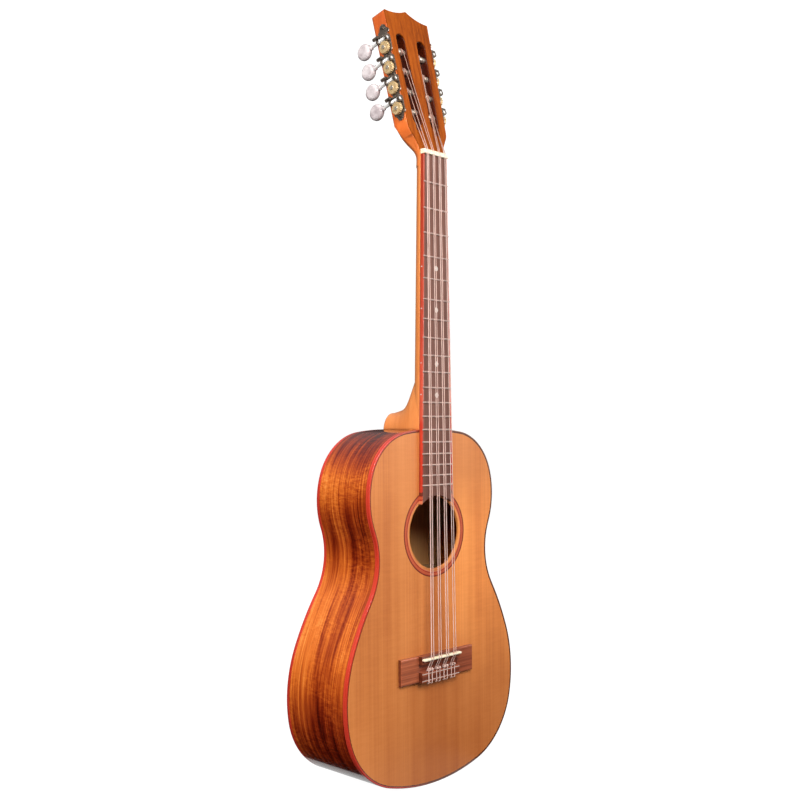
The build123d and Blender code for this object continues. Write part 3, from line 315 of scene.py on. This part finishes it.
# The neck turns redder towards the headstock, and the slots are painted dark inside as shade.
neck = finishes["neck_wood"]
softened = neck.add("ShaderNodeBevel", {"Radius": 0.004}, samples=6)
neck.tree.links.new(softened.outputs[0], neck.tree.nodes["Bump"].inputs["Normal"])
redder = neck.span(neck.axis(2), 0.625, 0.67, 0.0, 0.85)
neck.paint(neck.blend(redder, neck.colour, (1.0, 0.58, 0.34, 1), "MULTIPLY"))
head_end = neck.span(neck.axis(2), 0.73, 0.79)
neck.paint(neck.blend(head_end, neck.colour, (0.72, 0.66, 0.58, 1), "MULTIPLY"))
backwards = neck.math("SUBTRACT", neck.axis(1), HEAD_ORIGIN.y)
upwards = neck.math("SUBTRACT", neck.axis(2), HEAD_ORIGIN.z)
behind_face = neck.math("SUBTRACT", neck.math("MULTIPLY", backwards, math.cos(HEAD_TILT)),
                        neck.math("MULTIPLY", upwards, math.sin(HEAD_TILT)))
off_the_back = neck.span(behind_face, 0.0187, 0.0194, 1.0, 0.0)
off_the_sides = neck.span(neck.math("ABSOLUTE", neck.axis(0)), 0.0245, 0.0252, 1.0, 0.0)
# Painted shade inside the headstock slots.
slot_shade = neck.math("MULTIPLY", neck.math("MULTIPLY", off_the_back, off_the_sides),
                   neck.span(neck.axis(2), 0.664, 0.668))
neck.paint(neck.blend(slot_shade, neck.colour, (0.16, 0.1, 0.09, 1), "MULTIPLY"))


def ringed(finish):
    """Rings of red, pinkish tan and brown round the sound hole, painted over a finish's own colour."""
    place = finish.add("ShaderNodeSeparateXYZ", {0: finish.place})
    above_hole = finish.math("SUBTRACT", place.outputs[2], HOLE_Z)
    flat = finish.add("ShaderNodeCombineXYZ", {0: place.outputs[0], 1: above_hole})
    radius = finish.add("ShaderNodeVectorMath", {0: flat.outputs[0]}, operation="LENGTH").outputs["Value"]
    grain = finish.span(finish.noise(finish.stretched((500, 500, 500)), 3.0), 0.3, 0.7, 0.88, 1.08)
    pink, tan, red, brown = srgb(208, 122, 84), srgb(190, 90, 58), srgb(164, 46, 30), srgb(104, 40, 28)
    rings = finish.ramp(finish.span(radius, 0.0395, 0.0465), (0.0, pink), (0.16, pink),
                        (0.24, red), (0.34, red), (0.4, tan), (0.66, tan), (0.74, red), (0.8, brown),
                        (0.9, brown))
    grey = finish.add("ShaderNodeCombineColor", {0: grain, 1: grain, 2: grain}).outputs[0]
    rings = finish.blend(1.0, rings, grey, "MULTIPLY")
    finish.paint(finish.blend(finish.span(radius, *ROSETTE_REACH), rings, finish.colour))


ringed(finishes["dark_line"])
ringed(finishes["binding_wood"])


def metal(name, light, dark, rough, scale=700, depth=0.00002, shine=1.0):
    """Plated or bare metal with cloudy tarnish, fine scratches and darker low spots."""
    finish = Finish(name, Metallic=shine)
    cloud = finish.noise(finish.stretched((scale, scale, scale)), 4.0, 0.6)
    scratch = finish.noise(finish.stretched((300, 2600, 900), (0.3, 0.5, 0.2)), 2.0, 0.7)
    finish.shade(
        Base_Color=finish.ramp(cloud, (0.3, dark), (0.65, light)),
        Roughness=finish.math("ADD", finish.span(cloud, 0.3, 0.7, rough + 0.08, rough - 0.04),
                              finish.span(scratch, 0.3, 0.7, 0.0, 0.08)),
    )
    finish.bump(finish.math("ADD", cloud, finish.math("MULTIPLY", scratch, 0.3)), depth)
    return finish


finishes["fret_metal"] = metal("fret_metal", srgb(216, 190, 178), srgb(178, 150, 140), 0.34, shine=0.55)
finishes["plate_metal"] = metal("aged_nickel", srgb(176, 160, 146), srgb(82, 66, 56), 0.2, 420, shine=0.8)
finishes["screw_metal"] = metal("screw_metal", srgb(206, 198, 188), srgb(140, 128, 114), 0.2)
finishes["brass_gear"] = metal("gear_brass", srgb(240, 212, 162), srgb(206, 164, 108), 0.34, shine=0.5)
finishes["worm_nickel"] = metal("bright_nickel", srgb(248, 246, 242), srgb(226, 222, 216), 0.3, shine=0.35)
finishes["post_steel"] = metal("post_steel", srgb(232, 220, 204), srgb(186, 172, 152), 0.26, shine=0.7)


def smooth_solid(name, light, dark, rough, scale, **constants):
    """Bone, plastic or nylon: a faint cloud of colour with polishing marks."""
    finish = Finish(name, **constants)
    cloud = finish.noise(finish.stretched(scale), 3.0, 0.55)
    grit = finish.noise(finish.stretched((2500, 2500, 900)), 2.0)
    finish.paint(finish.ramp(cloud, (0.3, dark), (0.7, light)))
    finish.shade(Roughness=finish.span(grit, 0.3, 0.7, rough, rough + 0.1))
    finish.bump(grit, 0.00002)
    return finish


finishes["white_inlay"] = smooth_solid("pearl_dot", srgb(226, 218, 208), srgb(190, 178, 168), 0.2,
                                       (420, 420, 900), Coat_Weight=0.3)
finishes["bone"] = smooth_solid("bone", srgb(240, 232, 206), srgb(224, 210, 176), 0.3, (900, 300, 300),
                                Subsurface_Weight=0.1, Subsurface_Scale=0.002)
finishes["nylon_string"] = smooth_solid("nylon", srgb(220, 188, 176), srgb(198, 162, 150), 0.38,
                                        (900, 900, 120), IOR=1.4)
finishes["pearl_button"] = smooth_solid("pearl_button", srgb(220, 210, 209), srgb(168, 154, 155), 0.14,
                                        (150, 90, 110), Coat_Weight=0.6)

# Above the nut the strings are painted darker and warmer, as the shade they lie in among the headstock
# slots.
nylon = finishes["nylon_string"]
past_nut_shade = nylon.span(nylon.axis(2), NUT_Z - 0.002, NUT_Z + 0.018)
nylon.paint(nylon.blend(past_nut_shade, nylon.colour, (0.6, 0.5, 0.45, 1), "MULTIPLY"))

for node in frame["nodes"].values():
    node.material_slots[0].material = finishes[node.material_slots[0].material.name.split(".")[0]].material


# ------------------------------------------------------------------ string windings and knots
STRING_RADII = [0.0005, 0.00042, 0.00047, 0.00038]


def cord_piece(name, points, radius, body):
    """A round strand through the given points, riding on a body."""
    curve = bpy.data.curves.new(name, "CURVE")
    curve.dimensions = "3D"
    curve.bevel_depth = radius
    curve.bevel_resolution = 3
    curve.use_fill_caps = True
    line = curve.splines.new("POLY")
    line.points.add(len(points) - 1)
    for mark, point in zip(line.points, points):
        mark.co = (*point, 1.0)
    piece = bpy.data.objects.new(name, curve)
    piece.data.materials.append(finishes["nylon_string"].material)
    bpy.context.scene.collection.objects.link(piece)
    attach(piece, body)


def coil(centre, axis, start, radius, pitch, turns, steps=24):
    """Points on a helix about axis, from the start direction and advancing by pitch per turn."""
    side = axis.cross(start).normalized()
    points = []
    for step in range(int(turns * steps) + 1):
        angle = 2 * math.pi * step / steps
        around = start * math.cos(angle) + side * math.sin(angle)
        points.append(centre + around * radius + axis * pitch * step / steps)
    return points


WINDING_U = [0.0166, 0.0144, 0.0128, 0.0114]
POST_RADIUS = 0.003
towards_face = Vector((0, -math.cos(HEAD_TILT), math.sin(HEAD_TILT)))
joints = {joint["name"]: joint for joint in frame["record"]["behaviour"]["joints"]}
for side, direction in (("left", -1), ("right", 1)):
    for number, winding_u in enumerate(WINDING_U, start=1):
        joint = joints[f"turn_post_{side}_{number}"]
        place, axis = Vector(joint["pos_m"]), Vector(joint["axis"]).normalized()
        course = (0 if number <= 2 else 1) if direction < 0 else (3 if number <= 2 else 2)
        thickness = STRING_RADII[course]
        reach = POST_RADIUS + 0.0001 + thickness
        centre = place - axis * (abs(place.x) - winding_u) / abs(axis.x)
        start = (towards_face - axis * towards_face.dot(axis)).normalized()
        turns = coil(centre, axis, start, reach, thickness * 2.1, 3.25)
        last = turns[-1]
        away = (last - centre - axis * (last - centre).dot(axis)).normalized()
        tail = [last + away * 0.001 + axis * 0.0004, last + away * 0.0032 + axis * 0.0009]
        cord_piece(f"winding_{side}_{number}", turns + tail, thickness, f"roller_{side}_{number}")

SADDLE_COURSES = [-0.0172, -0.0057, 0.0057, 0.0172]
HALF_PAIR = 0.0019
KNOT_RADIUS = 0.0012
across = Vector((1, 0, 0))
for course, (course_x, thickness) in enumerate(zip(SADDLE_COURSES, STRING_RADII), start=1):
    for pair_side in (-1, 1):
        start = TIE_FRONT + across * (course_x + pair_side * HALF_PAIR - 0.0009)
        knot = coil(start, across, Vector((0, -1, 0)), KNOT_RADIUS, thickness * 1.9, 2.5, 16)
        end = knot[-1] + Vector((pair_side * 0.0008, -0.0006, 0.0012))
        place_in_pair = "outer" if pair_side * course_x > 0 else "inner"
        cord_piece(f"knot_{course}_{place_in_pair}", knot + [end], thickness, "root")


# ------------------------------------------------------------------ floor, light and camera
paper = Finish("studio_paper", Roughness=0.8, Specular_IOR_Level=0.0)
ray = paper.add("ShaderNodeLightPath")
paper_tone = paper.noise(paper.stretched((3, 3, 3)), 2.0)
pale = paper.ramp(paper_tone, (0.3, srgb(96, 96, 96)), (0.7, srgb(102, 102, 102)))
# The paper reads as white in every view, but only the part close under the object shows in its gloss.
glow_width = paper.span(paper.math("ABSOLUTE", paper.axis(0)), 0.085, 0.088, 0.62, 0.0)
glow_reach = paper.span(paper.math("ABSOLUTE", paper.axis(1)), 0.11, 0.13, 1.0, 0.0)
glossy_ray = ray.outputs["Is Glossy Ray"]
mirrored_glow = paper.math("MULTIPLY", glossy_ray, paper.math("MULTIPLY", glow_width, glow_reach))
seen_glow = paper.math("MULTIPLY", ray.outputs["Is Camera Ray"], 0.98)
paper.bsdf.inputs["Emission Color"].default_value = (1, 1, 1, 1)
paper.shade(Base_Color=paper.blend(glossy_ray, pale, (0, 0, 0, 1)),
            Emission_Strength=paper.math("ADD", mirrored_glow, seen_glow))
FLOOR_REACH = 6.0
floor_mesh = bpy.data.meshes.new("floor")
corners = [(x * FLOOR_REACH, y * FLOOR_REACH, 0) for x, y in ((-1, -1), (1, -1), (1, 1), (-1, 1))]
floor_mesh.from_pydata(corners, [], [(0, 1, 2, 3)])
floor_mesh.materials.append(paper.material)
floor = bpy.data.objects.new("floor", floor_mesh)
bpy.context.scene.collection.objects.link(floor)


class Sky(Finish):
    """The studio round the object, darker at eye level than overhead."""

    def __init__(self):
        world = bpy.data.worlds.new("studio")
        world.use_nodes = True
        bpy.context.scene.world = world
        self.tree = world.node_tree
        self.place = self.add("ShaderNodeTexCoord").outputs["Generated"]


sky = Sky()
overhead = sky.span(sky.axis(2), 0.1, 0.8, 0.03, 0.42)
camera_ray = sky.add("ShaderNodeLightPath").outputs["Is Camera Ray"]
backdrop = sky.tree.nodes["Background"]
backdrop.inputs["Color"].default_value = (1, 1, 1, 1)
sky.tree.links.new(sky.math("ADD", overhead, camera_ray), backdrop.inputs["Strength"])


def softbox(name, place, target, width, height, power, in_gloss=True):
    light = bpy.data.lights.new(name, "AREA")
    light.shape = "RECTANGLE"
    light.size = width
    light.size_y = height
    light.energy = power
    lamp = bpy.data.objects.new(name, light)
    lamp.location = place
    lamp.visible_glossy = in_gloss
    lamp.rotation_euler = (Vector(target) - Vector(place)).to_track_quat("-Z", "Y").to_euler()
    bpy.context.scene.collection.objects.link(lamp)


softbox("key", (-0.5, -1.15, 1.2), (0, 0, 0.5), 0.7, 0.7, 23.5)
softbox("side", (-2.0, -0.2, 0.9), (0, 0, 0.35), 0.9, 1.2, 38, in_gloss=False)
softbox("sheen", (1.2, -1.5, 0.95), (0, 0, 0.4), 0.9, 1.1, 17)
softbox("top", (-0.4, 0.2, 2.2), (0, 0, 0.4), 0.8, 0.8, 8, in_gloss=False)
softbox("rear", (1.2, 2.2, 1.3), (0, 0, 0.4), 1.4, 1.4, 22, in_gloss=False)

camera_data = bpy.data.cameras.new("camera")
SENSOR = 36.0
IMAGE = 800
camera_data.sensor_width = SENSOR
camera_data.lens = 1053.0 * SENSOR / IMAGE
camera_data.shift_x = -0.4 / IMAGE
camera_data.shift_y = 17.5 / IMAGE
camera_data.clip_start = 0.01
camera = bpy.data.objects.new("camera", camera_data)
YAW, PITCH, ROLL = math.radians(45.96), math.radians(0.663), math.radians(-0.317)
forward = Vector((math.sin(YAW), math.cos(YAW), 0)) * math.cos(PITCH) + Vector((0, 0, 1)) * math.sin(PITCH)
level_right = Vector((math.cos(YAW), -math.sin(YAW), 0))
level_up = level_right.cross(forward)
right = level_right * math.cos(ROLL) + level_up * math.sin(ROLL)
up = level_up * math.cos(ROLL) - level_right * math.sin(ROLL)
turn = Matrix((right, up, -forward)).transposed()
CAMERA_PLACE = (-0.8087, -0.7737, 0.3638)
camera.matrix_world = Matrix.Translation(CAMERA_PLACE) @ turn.to_4x4()
bpy.context.scene.collection.objects.link(camera)
bpy.context.scene.camera = camera
bpy.context.scene.view_settings.view_transform = "Standard"
